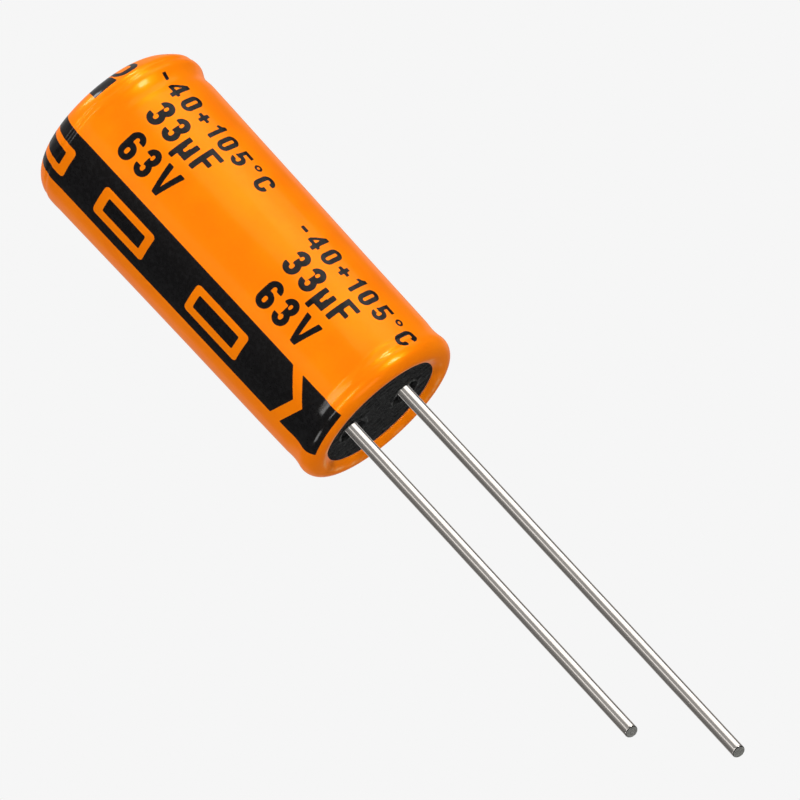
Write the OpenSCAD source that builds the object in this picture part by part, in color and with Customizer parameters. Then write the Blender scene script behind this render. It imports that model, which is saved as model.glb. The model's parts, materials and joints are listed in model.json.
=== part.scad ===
// Radial aluminium electrolytic capacitor, millimetres.
//
// Z is the can's axis and points from the leads to the closed end. Z = 0 is the seating plane,
// which the sleeved rim touches on a circuit board. X runs through both leads, positive at +X.
// Section shapes are drawn in the (radius, height) plane and turned about Z. Every skin of the
// can, the bung inside it and the sleeve outside it is one offset of the same section.

/* [Body] */
// Height from the seating plane to the closed end, over the sleeve
body_h = 18.8; // [11:0.1:30]
// Outer diameter of the bare can just above its groove
can_d = 7.94; // [6.5:0.02:12]
// Growth of the can's diameter from its groove to its closed end
can_swell = 0.4; // [0:0.02:0.6]
// Height of the soft bead round the corner of the closed end, on the radius
bead_lift = 0.06; // [0:0.01:0.12]
// Radius of the closed end's corner, on the bare can
corner_r = 1.17; // [0.6:0.01:1.6]
// Wall of the drawn can
can_wall = 0.25; // [0.18:0.01:0.4]
// Length of each arm of the pressure vent's cross, tip to tip
vent_l = 4.6; // [3:0.1:6]
// Width of the vent's score lines
vent_w = 0.3; // [0.15:0.05:0.5]
// Depth of the vent's score lines
vent_deep = 0.12; // [0.05:0.01:0.15]

/* [Rim and groove] */
// Outer radius of the curl that closes the rim
curl_r = 0.53; // [0.45:0.01:0.8]
// How far the curl stands out past the can's wall, on the radius
curl_flare = 0.05; // [0:0.01:0.12]
// Angle at which the curled edge ends, counted from the outside of the rim
curl_end = 226; // [200:1:240]
// Depth of the groove that grips the bung
groove_deep = 0.45; // [0.25:0.01:0.6]
// Inside radius of the groove's hollow
groove_r = 0.55; // [0.4:0.01:0.8]
// Radius of the bend from the groove to the can's wall
groove_bend = 0.4; // [0.3:0.01:0.6]

/* [Sleeve] */
// Thickness of the shrunk sleeve
sleeve_t = 0.12; // [0.08:0.01:0.2]
// Diameter of the hole that the sleeve leaves on the closed end
sleeve_open_d = 6.0; // [4.5:0.1:6.6]
// Angle at which the sleeve's edge ends inside the rim
sleeve_end = 219; // [216:1:250]
// How far the sleeve sinks over the groove, on the radius
waist_dip = 0.03; // [0:0.01:0.08]
// Radius of the sleeve's hollow over the groove
waist_r = 2.6; // [2:0.1:4]

/* [Bung] */
// Depth of the bung's bare face above the seating plane
face_deep = 0.33; // [0.32:0.01:0.6]
// Thickness of the bung
bung_h = 2.9; // [2.4:0.1:4.5]
// Outer diameter of the moat in the bung round each lead
moat_d = 1.3; // [1:0.05:1.6]
// Depth of that moat
moat_deep = 0.12; // [0.05:0.01:0.18]
// Height of the raised lip round the moat
lip_h = 0.05; // [0.02:0.01:0.08]
// Width of the raised lip
lip_w = 0.22; // [0.1:0.01:0.3]

/* [Leads] */
// Diameter of the tinned lead wire
lead_d = 0.6; // [0.45:0.01:0.8]
// Distance between the two leads' axes
lead_pitch = 3.0; // [2.4:0.05:3.8]
// Length of the positive lead below the seating plane
positive_l = 21.4; // [3:0.1:35]
// Length of the negative lead below the seating plane
negative_l = 17.9; // [3:0.1:35]
// Height of the slant that the cutter leaves on a lead's tip
tip_slant = 0.26; // [0.05:0.01:0.4]
// Direction of the tips' short side, counted from the positive lead
tip_at = 246; // [180:1:300]
// How far the round wire runs past the bung's bare face before its weld flares
wire_in = 0.04; // [0.02:0.01:0.1]

/* [Tabs] */
// Diameter of each tab's round stem in the bung
stem_d = 1.1; // [0.9:0.05:1.4]
// Height of the weld between lead and stem, inside the bung
weld_h = 0.26; // [0.2:0.02:0.5]
// Thickness of a tab's rolled blade in the winding
blade_t = 0.2; // [0.1:0.01:0.3]
// Length of the tapered neck between a stem and its blade
neck_h = 0.55; // [0.3:0.05:1]
// How far a stem stands up from the bung
stem_rise = 0.15; // [0.05:0.05:0.6]

/* [Winding] */
// Radius of the hole left by the winding mandrel
core_r = 0.45; // [0.3:0.05:0.8]
// Thickness of the etched anode foil
anode_t = 0.1; // [0.07:0.01:0.13]
// Thickness of the cathode foil
cathode_t = 0.05; // [0.03:0.01:0.08]
// Thickness of each paper separator
paper_t = 0.05; // [0.04:0.01:0.08]
// Thickness of the tape that holds the winding's end
tape_t = 0.05; // [0.03:0.01:0.08]
// Width of the tape along the can
tape_h = 9; // [5:0.5:12]
// Free height between the winding and the bung
foot_gap = 0.9; // [0.8:0.1:2]
// Free height between the winding and the can's closed end
head_gap = 0.7; // [0.4:0.1:2]
// How far each foil's edges stay inside the paper's
paper_margin = 0.6; // [0.3:0.1:1.2]
// Free space round the winding, on the radius
wall_gap = 0.08; // [0.05:0.01:0.3]

/* [Print] */
// Direction of the polarity stripe's centre line, counted from the positive lead
stripe_at = 208; // [180:1:220]
// Width of the stripe, as an angle round the can
stripe_sweep = 38; // [24:1:60]
// Thickness of the ink that stands for the print
ink_t = 0.04; // [0.02:0.005:0.06]
// Angle of an unprinted window in the stripe
window_sweep = 20.5; // [12:0.5:22]
// Height of a whole window along the can
window_h = 3.3; // [2:0.1:4.5]
// Height of the lowest window's bottom edge
window_low = 5.55; // [4:0.05:7]
// Height of the middle window's bottom edge
window_mid = 11.7; // [10:0.05:13]
// Height of the top window's bottom edge, whose rest runs over the closed end's corner
window_top = 17; // [16:0.05:18]
// Width of the orange line round the black bar in a window
window_line = 0.38; // [0.2:0.01:0.45]
// Height of the arrow gap's tip, near the leads
arrow_z = 1.7; // [1.5:0.05:3]
// How far the arrow gap's tip lies beside the stripe's centre line
arrow_side = 0.2; // [-0.6:0.05:0.6]
// Rise of the arrow gap from its tip to the stripe's left edge
arrow_left = 0.6; // [0.3:0.05:1.5]
// Rise of the arrow gap from its tip to the stripe's right edge
arrow_right = 0.95; // [0.3:0.05:1.5]
// Width of the arrow gap along the can
arrow_w = 0.55; // [0.3:0.05:1]
// Angle on the rim's roll at which the stripe stops
stripe_end = 310; // [290:1:340]

/* [Hidden] */
$fn = 64;

// Clearance between pieces that seat on each other
fit = 0.01;
// Angle on the curl that keeps the bung's chamfer off the can's cut edge
edge_free = 4;
// Largest turn of an arc between two points of a section
arc_step = 15;
// Overrun of a cutting shape past the face that it cuts
over = 0.5;
// Hairline that keeps the ink's back off the sleeve's face
ink_lift = 0.002;

// Heights that the rim, the can and the winding share
skin = sleeve_t + fit;
curl_z = curl_r + skin;
can_top = body_h - skin;
bung_top = face_deep + bung_h;
stem_top = bung_top + stem_rise;
wire_top = face_deep + wire_in;
weld_top = wire_top + weld_h;
paper_z = bung_top + foot_gap;
paper_top = can_top - can_wall - head_gap;

// Radii that they share
wall_r = can_d / 2;
curl_c = wall_r + curl_flare - curl_r;
high_r = wall_r + can_swell / 2;
bead_r = high_r + bead_lift;

// Points of an arc round c with radius r, from angle a to angle b
function arc(c, r, a, b) = let (n = max(1, ceil(abs(b - a) / arc_step)))
    [for (i = [0:n]) c + r * [cos(a + (b - a) * i / n), sin(a + (b - a) * i / n)]];

// Height between the centres of two touching circles whose radii add up to r and that lie dx apart
function rise(r, dx) = sqrt(r * r - dx * dx);

// Hollow between the curl and the wall: [its least radius, its bend, the next bend, the wall]
groove = [wall_r - groove_deep, groove_r, groove_bend, wall_r];
waist = [wall_r - waist_dip, waist_r, waist_r, wall_r];

// Skin of the can, lying out past the bare can's outside, from an angle on the curl to the
// hollow h and up the wall. Offsets in are negative, as the can's inner side is.
function foot(out, from, h) =
    let (hollow = h[1], bend = h[2],
         c1 = [curl_c, curl_z],
         c2 = [h[0] + hollow, curl_z + rise(curl_r + hollow, h[0] + hollow - curl_c)],
         c3 = [h[3] - bend, c2[1] + rise(hollow + bend, c2[0] - h[3] + bend)],
         a1 = atan2(c2[1] - c1[1], c2[0] - c1[0]),
         a2 = atan2(c3[1] - c2[1], c3[0] - c2[0]))
    concat(
        arc(c1, curl_r + out, from - 360, a1),
        arc(c2, hollow - out, a1 + 180, a2),
        arc(c3, bend + out, a2 - 180, 0));

// The same skin from the wall over the bead to the flat closed end, stopping at radius stop
function head(out, stop) =
    let (soft = waist_r,
         c1 = [bead_r - corner_r, can_top - corner_r],
         c2 = [high_r + soft, can_top - corner_r
               - rise(corner_r + soft, high_r + soft - bead_r + corner_r)],
         a = atan2(c1[1] - c2[1], c1[0] - c2[0]))
    concat(
        arc(c2, soft - out, 180, a),
        arc(c1, corner_r + out, a - 180, 90),
        [[stop, can_top + out]]);

function reversed(list) = [for (i = [len(list) - 1:-1:0]) list[i]];

// A closed section between two skins, turned about the can's axis
module shell(inner, outer) {
    rotate_extrude() polygon(concat(inner, reversed(outer)));
}

// Outer skin of the sleeve, from an angle on the rim's roll to the closed end
function sleeve_skin(out, from) =
    concat(foot(out, from, waist), head(out, sleeve_open_d / 2));

module sleeve() {
    color("#f58c0a") shell(sleeve_skin(fit, sleeve_end), sleeve_skin(skin, sleeve_end));
}

// Part of a turned ring from radius r1 to r2 and height z1 to z2, sweep degrees wide about at
module sector(r1, r2, z1, z2, at, sweep) {
    rotate([0, 0, at - sweep / 2])
        rotate_extrude(angle = sweep) translate([r1, z1]) square([r2 - r1, z2 - z1]);
}

// The window's black bar and its orange frame, as the solid that is cut from the stripe
module window(z) {
    line_sweep = window_line / wall_r * 180 / PI;
    difference() {
        sector(wall_r / 2, wall_r * 2, z, z + window_h, stripe_at, window_sweep);
        sector(wall_r / 2 - 1, wall_r * 2 + 1, z + window_line, z + window_h - window_line,
               stripe_at, window_sweep - 2 * line_sweep);
    }
}

// A gap shaped as an arrow that points to the leads, cut straight through the stripe
module arrow() {
    edge = wall_r * sin(stripe_sweep / 2);
    half = edge + over;
    left = arrow_z + arrow_left * (half + arrow_side) / (edge + arrow_side);
    right = arrow_z + arrow_right * (half - arrow_side) / (edge - arrow_side);
    rotate([0, 0, stripe_at]) rotate([90, 0, 90]) linear_extrude(wall_r * 2)
        polygon([[arrow_side, arrow_z], [half, right], [half, right + arrow_w],
                 [arrow_side, arrow_z + arrow_w], [-half, left + arrow_w], [-half, left]]);
}

module polarity_stripe() {
    under = sleeve_skin(skin + ink_lift, sleeve_end);
    ink = sleeve_skin(skin + ink_t, sleeve_end);
    color("#1c1c1c") difference() {
        rotate([0, 0, stripe_at - stripe_sweep / 2])
            rotate_extrude(angle = stripe_sweep) polygon(concat(under, reversed(ink)));
        translate([0, 0, -over])
            cylinder(h = over + curl_z, r = curl_c + (curl_r + skin) * cos(stripe_end));
        for (z = [window_low, window_mid, window_top]) window(z);
        arrow();
    }
}

// One arm of the vent's cross, scored into the closed end
module vent_arm(turn) {
    rotate([0, 0, turn]) translate([-vent_l / 2, -vent_w / 2, can_top - vent_deep])
        cube([vent_l, vent_w, vent_deep + over]);
}

module can() {
    inner = concat(foot(-can_wall, curl_end, groove), head(-can_wall, 0));
    outer = concat(foot(0, curl_end, groove), head(0, 0));
    color("#c9ccd0") difference() {
        shell(inner, outer);
        for (turn = [45, 135]) vent_arm(turn);
    }
}

// Moat round a lead, and the hole that takes the weld and the tab's stem
module lead_hole() {
    rotate_extrude() polygon([
        [0, face_deep - over], [moat_d / 2, face_deep - over], [moat_d / 2, face_deep],
        [moat_d / 2 - moat_deep / 2, face_deep + moat_deep], [0, face_deep + moat_deep]]);
    translate([0, 0, wire_top])
        cylinder(h = weld_h, r1 = lead_d / 2 + fit, r2 = weld_r() + fit);
    translate([0, 0, weld_top]) cylinder(h = bung_h, d = stem_d + 2 * fit);
}

// Rubber pushed up round the moat, as a ring with a round back
module lead_lip() {
    mid = (moat_d + lip_w) / 2;
    rotate_extrude() polygon(concat(
        [[mid + lip_w / 2, face_deep + lip_h]],
        [for (a = [0:-30:-180]) [mid + lip_w / 2 * cos(a), face_deep + lip_h * sin(a)]],
        [[mid - lip_w / 2, face_deep + lip_h]]));
}

module at_leads() {
    for (side = [-1, 1]) translate([side * lead_pitch / 2, 0, 0]) children();
}

module bung() {
    gripped = foot(-can_wall - fit, curl_end - edge_free, groove);
    edge = curl_r * [cos(curl_end), sin(curl_end)] + [curl_c, curl_z];
    top_r = wall_r - can_wall - fit;
    color("#232626") difference() {
        union() {
            rotate_extrude() polygon(concat(
                [[0, face_deep], [edge[0] - (edge[1] > face_deep ? edge[1] - face_deep : 0),
                                  face_deep]],
                gripped, [[top_r, bung_top], [0, bung_top]]));
            at_leads() lead_lip();
        }
        at_leads() lead_hole();
    }
}

// Radius of the weld where it meets the stem
function weld_r() = lead_d / 4 + stem_d / 4 + lead_d / 40;

// A straight lead with a sheared tip and the weld's flare at its top, below the seating plane by l
module lead(l) {
    color("#c4c4c0") {
        difference() {
            translate([0, 0, -l]) cylinder(h = l + wire_top, d = lead_d);
            rotate([0, 0, tip_at]) translate([-lead_d / 2, 0, -l])
                rotate([0, -atan(tip_slant / lead_d), 0])
                    translate([-over, -lead_d, -over]) cube([lead_d + 2 * over, lead_d * 2, over]);
        }
        translate([0, 0, wire_top]) cylinder(h = weld_h, d1 = lead_d, d2 = 2 * weld_r());
    }
}

module positive_lead() {
    translate([lead_pitch / 2, 0, 0]) lead(positive_l);
}

module negative_lead() {
    translate([-lead_pitch / 2, 0, 0]) lead(negative_l);
}

// Winding. Four strips are wound together, and each has an inner and an outer face, which are
// numbered outwards: 0 and 1 paper, 2 and 3 anode, 4 and 5 paper, 6 and 7 cathode.
stations = 20;
step = 360 / stations;
strip_t = [paper_t, anode_t, paper_t, cathode_t];
face_at = [for (k = [0:3], s = [0, 1])
    fit * k + (s == 1 ? strip_t[k] : 0) + (k > 0 ? strip_t[0] : 0)
    + (k > 1 ? strip_t[1] : 0) + (k > 2 ? strip_t[2] : 0)];
turn_t = face_at[7] + fit;

// Whole turns from the core to the blades, which lie nearest under their leads
blade_turn = max(1, round((lead_pitch / 2 - blade_t / 2 - core_r - face_at[3]) / turn_t));
anode_blade = 360 * blade_turn;
cathode_blade = anode_blade - 180;

// Largest radius of the winding under its tape, and the angle at which the winding ends there
room = wall_r - can_wall - wall_gap - 2 * (tape_t + fit);
last = step * floor((room - core_r - face_at[5] - blade_t - 2 * fit) / turn_t * stations);
anode_first = 4 * step;
anode_last = last - 540;
cathode_first = 2 * step;
cathode_last = last - 360;

// A blade lifts every layer outside it, most over the blade and nothing a third of a turn away
blade_half = 2 * step;
function nearness(a) = let (d = abs((a + 540) % 360 - 180))
    d <= blade_half ? 1 : max(0, 1 - (d - blade_half) / (3 * step));
function lifted(face, a, blade, first_face) =
    a > blade + 180 || (a > blade - 180 && face >= first_face) ? 1 : 0;

// Radius of a face at angle a, which counts on over all the turns
function wound(face, a) = core_r + turn_t * a / 360 + face_at[face]
    + (blade_t + fit) * (lifted(face, a, anode_blade, 4) * nearness(a)
                         + lifted(face, a, cathode_blade, 8) * nearness(a - 180));

function polar(r, a) = r * [cos(a), sin(a)];

// A strip of the winding between two of its faces and two angles, h tall from height z
module strip(face, from, to, z, h) {
    translate([0, 0, z]) linear_extrude(h) polygon(concat(
        [for (a = [from:step:to]) polar(wound(face, a), a)],
        reversed([for (a = [from:step:to]) polar(wound(face + 1, a), a)])));
}

foil_z = paper_z + paper_margin;
foil_h = paper_top - paper_z - 2 * paper_margin;

module anode_foil() {
    color("#8f9296") strip(2, anode_first, anode_last, foil_z, foil_h);
}

module cathode_foil() {
    color("#b9bcc0") strip(6, cathode_first, cathode_last, foil_z, foil_h);
}

module inner_separator() {
    color("#cdb68c") strip(0, 0, last, paper_z, paper_top - paper_z);
}

module outer_separator() {
    color("#d8c49c") strip(4, 0, last, paper_z, paper_top - paper_z);
}

// A tab: round stem in the bung, tapered neck, and a blade rolled to the turn that it lies on
module tab(face, blade) {
    bottom = stem_top + neck_h / 2;
    color("#b4b8bc") {
        translate([polar(lead_pitch / 2, blade)[0], 0, 0]) {
            translate([0, 0, weld_top]) cylinder(h = stem_top - weld_top, d = stem_d);
            translate([0, 0, stem_top]) cylinder(h = neck_h, d1 = stem_d, d2 = blade_t);
        }
        translate([0, 0, bottom]) linear_extrude(foil_z + foil_h - paper_margin - bottom)
            polygon(concat(
                [for (a = [blade - blade_half:step:blade + blade_half])
                    polar(wound(face, a) + fit / 2, a)],
                [for (a = [blade + blade_half:-step:blade - blade_half])
                    polar(wound(face, a) + fit / 2 + blade_t, a)]));
    }
}

module positive_tab() {
    tab(3, anode_blade);
}

module negative_tab() {
    tab(7, cathode_blade);
}

// The tape starts under its own end: it runs over the last turn, slopes down the step where the
// papers end, and then lies on itself
tape_slope = 3 * step;
tape_lap = 3 * step;
tape_to = last + tape_slope + tape_lap;
tape_from = last + tape_slope - 360;
function on_papers(a) = wound(5, a) + fit;
function on_tape(a) = on_papers(a - 360) + tape_t + fit;
function tape_r(a) = let (t = (a - last) / tape_slope)
    a <= last ? on_papers(a)
    : t < 1 ? (1 - t) * on_papers(last) + t * on_tape(last + tape_slope)
    : on_tape(a);

module winding_tape() {
    color("#a8763e") translate([0, 0, (paper_z + paper_top - tape_h) / 2])
        linear_extrude(tape_h) polygon(concat(
            [for (a = [tape_from:step:tape_to]) polar(tape_r(a), a)],
            reversed([for (a = [tape_from:step:tape_to]) polar(tape_r(a) + tape_t, a)])));
}

sleeve();
polarity_stripe();
can();
bung();
positive_lead();
negative_lead();
positive_tab();
negative_tab();
anode_foil();
cathode_foil();
inner_separator();
outer_separator();
winding_tape();
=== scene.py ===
"""Looks of a radial aluminium electrolytic capacitor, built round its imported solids.

Blender works in metres. Every section, print field and relief here is worked out in millimetres
with numpy, and turned into metres when it becomes a mesh. An azimuth counts from the positive
lead, and on the film from the side that faces the viewer.
"""

from __future__ import annotations

import json
import logging
import math
from abc import ABC, abstractmethod
from dataclasses import dataclass, field
from enum import Enum
from functools import cache, cached_property
from typing import Callable, Sequence

import bpy
import numpy as np
from mathutils import Matrix, Vector

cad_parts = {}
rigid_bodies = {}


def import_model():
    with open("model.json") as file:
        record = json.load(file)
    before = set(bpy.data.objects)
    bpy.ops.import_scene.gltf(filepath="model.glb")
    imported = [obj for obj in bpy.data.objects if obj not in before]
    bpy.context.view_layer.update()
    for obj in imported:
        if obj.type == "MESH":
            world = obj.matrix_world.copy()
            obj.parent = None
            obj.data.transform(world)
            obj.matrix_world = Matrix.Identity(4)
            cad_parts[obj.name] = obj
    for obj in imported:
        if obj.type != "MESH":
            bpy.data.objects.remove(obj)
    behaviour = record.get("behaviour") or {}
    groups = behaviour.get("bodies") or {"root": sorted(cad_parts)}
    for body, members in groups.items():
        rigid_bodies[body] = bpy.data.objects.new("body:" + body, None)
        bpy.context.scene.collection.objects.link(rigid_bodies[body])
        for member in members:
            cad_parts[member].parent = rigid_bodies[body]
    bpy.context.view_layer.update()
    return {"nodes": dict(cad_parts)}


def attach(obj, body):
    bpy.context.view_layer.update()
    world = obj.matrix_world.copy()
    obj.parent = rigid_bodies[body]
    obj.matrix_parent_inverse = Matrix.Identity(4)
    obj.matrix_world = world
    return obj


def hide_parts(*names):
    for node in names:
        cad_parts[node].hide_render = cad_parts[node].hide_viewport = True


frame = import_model()

LOG = logging.getLogger("capacitor")
MM = 0.001
LEAD_AT = 1.5
Array = np.ndarray
Colour = tuple[float, float, float]
Point = tuple[float, float]
Shape = Callable[[Array, Array], Array]
Socket = bpy.types.NodeSocket


# Shapes: functions of a place that give the signed distance, negative inside

def box(low: Point, high: Point, bend: float = 0.0) -> Shape:
    """A rectangle: the corner distance outside, the nearest side inside.

    Args:
        low, high: Its opposite corners.
        bend: Radius of its rounded corners.

    Returns:
        The shape.
    """
    def gap(x: Array, y: Array) -> Array:
        """Signed distance to the rectangle."""
        reach_x = np.abs(x - (low[0] + high[0]) / 2) - (high[0] - low[0]) / 2 + bend
        reach_y = np.abs(y - (low[1] + high[1]) / 2) - (high[1] - low[1]) / 2 + bend
        outside = np.hypot(np.maximum(reach_x, 0), np.maximum(reach_y, 0))
        return outside + np.minimum(np.maximum(reach_x, reach_y), 0) - bend
    return gap


def outline(*corners: Point) -> Shape:
    """A polygon: the least distance to its edges, with the sign of a crossing count.

    Args:
        *corners: Its corners in order.

    Returns:
        The shape.
    """
    def gap(x: Array, y: Array) -> Array:
        """Signed distance to the polygon."""
        nearest, inside = np.full(np.shape(x), np.inf), np.zeros(np.shape(x), bool)
        for (ax, ay), (bx, by) in zip(corners, [*corners[1:], corners[0]]):
            run_x, run_y = bx - ax, by - ay
            along = ((x - ax) * run_x + (y - ay) * run_y) / (run_x ** 2 + run_y ** 2)
            along = np.clip(along, 0, 1)
            off_x, off_y = x - ax - run_x * along, y - ay - run_y * along
            nearest = np.minimum(nearest, off_x ** 2 + off_y ** 2)
            if run_y:
                inside ^= ((ay > y) != (by > y)) & (x < run_x * (y - ay) / run_y + ax)
        return np.where(inside, -1, 1) * np.sqrt(nearest)
    return gap


def union(*shapes: Shape) -> Shape:
    """Shapes together, as the least of their distances."""
    return lambda x, y: np.minimum.reduce([shape(x, y) for shape in shapes])


def less(shape: Shape, cut: Shape) -> Shape:
    """A shape with another cut out, as the greater of its distance and minus the cut's."""
    return lambda x, y: np.maximum(shape(x, y), -cut(x, y))


# Curves

def smooth(low: float, high: float, value: Array) -> Array:
    """Soft step from 0 at low to 1 at high: three squares less two cubes of the clamped share."""
    share = np.clip((value - low) / (high - low), 0, 1)
    return share * share * (3 - 2 * share)


def hump(value: Array, middle: float, fade: float) -> Array:
    """Bell curve of one at the middle: e to the minus square of the distance over the fade."""
    return np.exp(-((value - middle) / fade) ** 2)


def ripple(x: Array, y: Array, size: float, seed: int) -> Array:
    """Smooth seeded noise: a sum of plane waves with random headings, phases and near-equal lengths.

    Args:
        x, y: Where the noise is wanted.
        size: Typical length of a wave.
        seed: Seed of the random numbers.

    Returns:
        Values with a spread of about one.
    """
    waves = 28
    draw = np.random.default_rng(seed)
    heading = draw.uniform(0, 2 * np.pi, waves)
    pace = 2 * np.pi / size * draw.uniform(0.55, 1.6, waves)
    phase = draw.uniform(0, 2 * np.pi, waves)
    total = np.zeros(np.broadcast(x, y).shape)
    for turn, rate, start in zip(heading, pace, phase):
        total += np.cos(rate * (x * math.cos(turn) + y * math.sin(turn)) + start)
    return total / math.sqrt(waves / 2)


def arc(centre: Point, radius: float, start: float, stop: float) -> Array:
    """Points of a circle's arc from one angle to another, in degrees, about 3 degrees apart."""
    angle = np.radians(np.linspace(start, stop, max(2, math.ceil(abs(stop - start) / 3) + 1)))
    return np.stack([centre[0] + radius * np.cos(angle), centre[1] + radius * np.sin(angle)], 1)


def run_of(section: Array) -> Array:
    """Length along a section at each of its points: the sum of the steps before it."""
    return np.concatenate([[0], np.cumsum(np.hypot(*np.diff(section, axis=0).T))])


def respaced(section: Array, spacing: float) -> Array:
    """The same section with points that lie evenly along it.

    Args:
        section: Points by 2, radius and height.
        spacing: About how far apart the new points are.

    Returns:
        The new points.
    """
    run = run_of(section)
    at = np.linspace(0, run[-1], max(2, round(run[-1] / spacing) + 1))
    return np.stack([np.interp(at, run, part) for part in section.T], 1)


def turned(section: Array, azimuth: Array) -> Array:
    """Turns a section about the upright axis: the radius goes round, and the height stays.

    Args:
        section: Points by 2, radius and height.
        azimuth: Angles of the columns, in radians.

    Returns:
        Points by columns by 3.
    """
    radius, height = section[:, :1], section[:, 1:]
    return np.stack([radius * np.cos(azimuth), radius * np.sin(azimuth), height + 0 * azimuth], 2)


# Meshes

def linked(name: str, data: bpy.types.ID) -> bpy.types.Object:
    """A new object with the data, linked to the scene."""
    made = bpy.data.objects.new(name, data)
    bpy.context.scene.collection.objects.link(made)
    return made


def mesh_from_grid(name: str, points: Array, marks: dict[str, Array],
                   poles: bool = False) -> bpy.types.Object:
    """Turns a grid of points round the can's axis into a closed mesh.

    Face (i, j) joins the points (i, j), (i, j + 1), (i + 1, j + 1) and (i + 1, j). The columns close
    on themselves, so a section that runs with the body on its left gets faces that point outwards.
    The last row joins the first, unless the grid has poles.

    Args:
        name: Name of the object.
        points: Rows by columns by 3, in millimetres.
        marks: Attributes for the material to read, with a number for each point.
        poles: Whether the first and last rows lie on an axis, where each becomes one point.

    Returns:
        The linked object, smooth shaded.
    """
    rows, columns = points.shape[:2]
    index = np.arange(rows * columns).reshape(rows, columns)
    flat = points.reshape(-1, 3) * MM
    if poles:
        index -= columns
        index[0] = index[-1, 0]
        index[-1] = index[0] + 1
        flat = np.vstack([flat[columns:-columns], flat[:1], flat[-1:]])
        marks = {key: np.append(values[1:-1], values[[0, -1], 0]) for key, values in marks.items()}
    up = np.roll(index, -1, axis=0)
    bands = np.stack([index, np.roll(index, -1, 1), np.roll(up, -1, 1), up], 2)
    if poles:
        faces = [*bands[1:-2].reshape(-1, 4).tolist(), *bands[0][:, [2, 3, 0]].tolist(),
                 *bands[-2][:, [2, 0, 1]].tolist()]
    else:
        faces = bands.reshape(-1, 4).tolist()
    mesh = bpy.data.meshes.new(name)
    mesh.from_pydata(flat.tolist(), [], faces)
    mesh.polygons.foreach_set("use_smooth", [True] * len(mesh.polygons))
    for key, values in marks.items():
        layer = mesh.attributes.new(key, "FLOAT", "POINT")
        layer.data.foreach_set("value", values.astype(np.float32).ravel())
    mesh.update()
    return linked(name, mesh)


# Material building

def opaque(colour: Colour | Socket) -> tuple[float, ...] | Socket:
    """A colour with full alpha, or an output as it is."""
    return colour if isinstance(colour, Socket) else (*colour, 1.0)


class Board:
    """A node tree with short calls that add a node, set its sockets and link them."""

    def __init__(self, tree: bpy.types.NodeTree) -> None:
        """Keeps the tree that the calls add to."""
        self.tree = tree

    @classmethod
    def cleared(cls, owner: bpy.types.Material | bpy.types.World) -> Board:
        """A board on the emptied node tree of a material or the world."""
        owner.use_nodes = True
        owner.node_tree.nodes.clear()
        return cls(owner.node_tree)

    def add(self, kind: str, inputs: dict[str | int, object] | None = None,
            **settings: object) -> bpy.types.Node:
        """Adds a node.

        Args:
            kind: The node's type, without its ShaderNode prefix unless it is a group's own node.
            inputs: Socket names or numbers, each with a value or with an output to link from.
            **settings: Properties of the node.

        Returns:
            The node.
        """
        node = self.tree.nodes.new(kind if kind.startswith("Node") else "ShaderNode" + kind)
        for key, value in settings.items():
            setattr(node, key, value)
        for key, value in (inputs or {}).items():
            if isinstance(value, Socket):
                self.tree.links.new(value, node.inputs[key])
            else:
                node.inputs[key].default_value = value
        return node

    def place(self, kind: str = "Object") -> Socket:
        """Output of the texture coordinates."""
        return self.add("TexCoord").outputs[kind]

    def attribute(self, name: str) -> Socket:
        """Output of an attribute that the mesh stores."""
        return self.add("Attribute", attribute_name=name).outputs["Fac"]

    def group(self, tree: bpy.types.NodeTree, **numbers: float) -> bpy.types.NodeOutputs:
        """Outputs of a shared group, placed with its own values."""
        return self.add("Group", numbers, node_tree=tree).outputs

    def math(self, operation: str, *values: float | Socket) -> Socket:
        """Output of a math node on values or outputs."""
        return self.add("Math", dict(enumerate(values)), operation=operation).outputs[0]

    def ramp(self, value: Socket, low: float, high: float, to_low: float = 0.0,
             to_high: float = 1.0) -> Socket:
        """Output of a soft Map Range node from low..high to to_low..to_high."""
        return self.add("MapRange", dict(enumerate((value, low, high, to_low, to_high))),
                        interpolation_type="SMOOTHSTEP").outputs[0]

    def blend(self, factor: Socket, first: Colour | Socket, second: Colour | Socket) -> Socket:
        """Colour output that goes from the first colour or output to the second by the factor."""
        return self.add("Mix", {0: factor, 6: opaque(first), 7: opaque(second)},
                        data_type="RGBA").outputs[2]

    def noise(self, scale: float | Socket, detail: float = 3.0, rough: float = 0.55,
              where: Socket | None = None) -> Socket:
        """Value output of a noise texture, in features a metre, on object coordinates if no others."""
        return self.add("TexNoise", {"Vector": where or self.place(), "Scale": scale,
                                     "Detail": detail, "Roughness": rough}).outputs[0]

    def bump(self, height: Socket, strength: float, distance: float) -> Socket:
        """Normal output of a bump node whose distance is in millimetres."""
        return self.add("Bump", {"Strength": strength, "Distance": distance * MM,
                                 "Height": height}).outputs[0]


def new_group(name: str, numbers: dict[str, float],
              outputs: Sequence[str]) -> tuple[Board, bpy.types.NodeOutputs]:
    """Starts a shader node group with number inputs and outputs.

    Args:
        name: The group's name.
        numbers: Input names with their usual values.
        outputs: Output names.

    Returns:
        The group's board, and the outputs of its input node.
    """
    tree = bpy.data.node_groups.new(name, "ShaderNodeTree")
    for key, value in numbers.items():
        socket = tree.interface.new_socket(key, in_out="INPUT", socket_type="NodeSocketFloat")
        socket.default_value = value
    for key in outputs:
        tree.interface.new_socket(key, in_out="OUTPUT", socket_type="NodeSocketFloat")
    board = Board(tree)
    return board, board.add("NodeGroupInput").outputs


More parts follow.
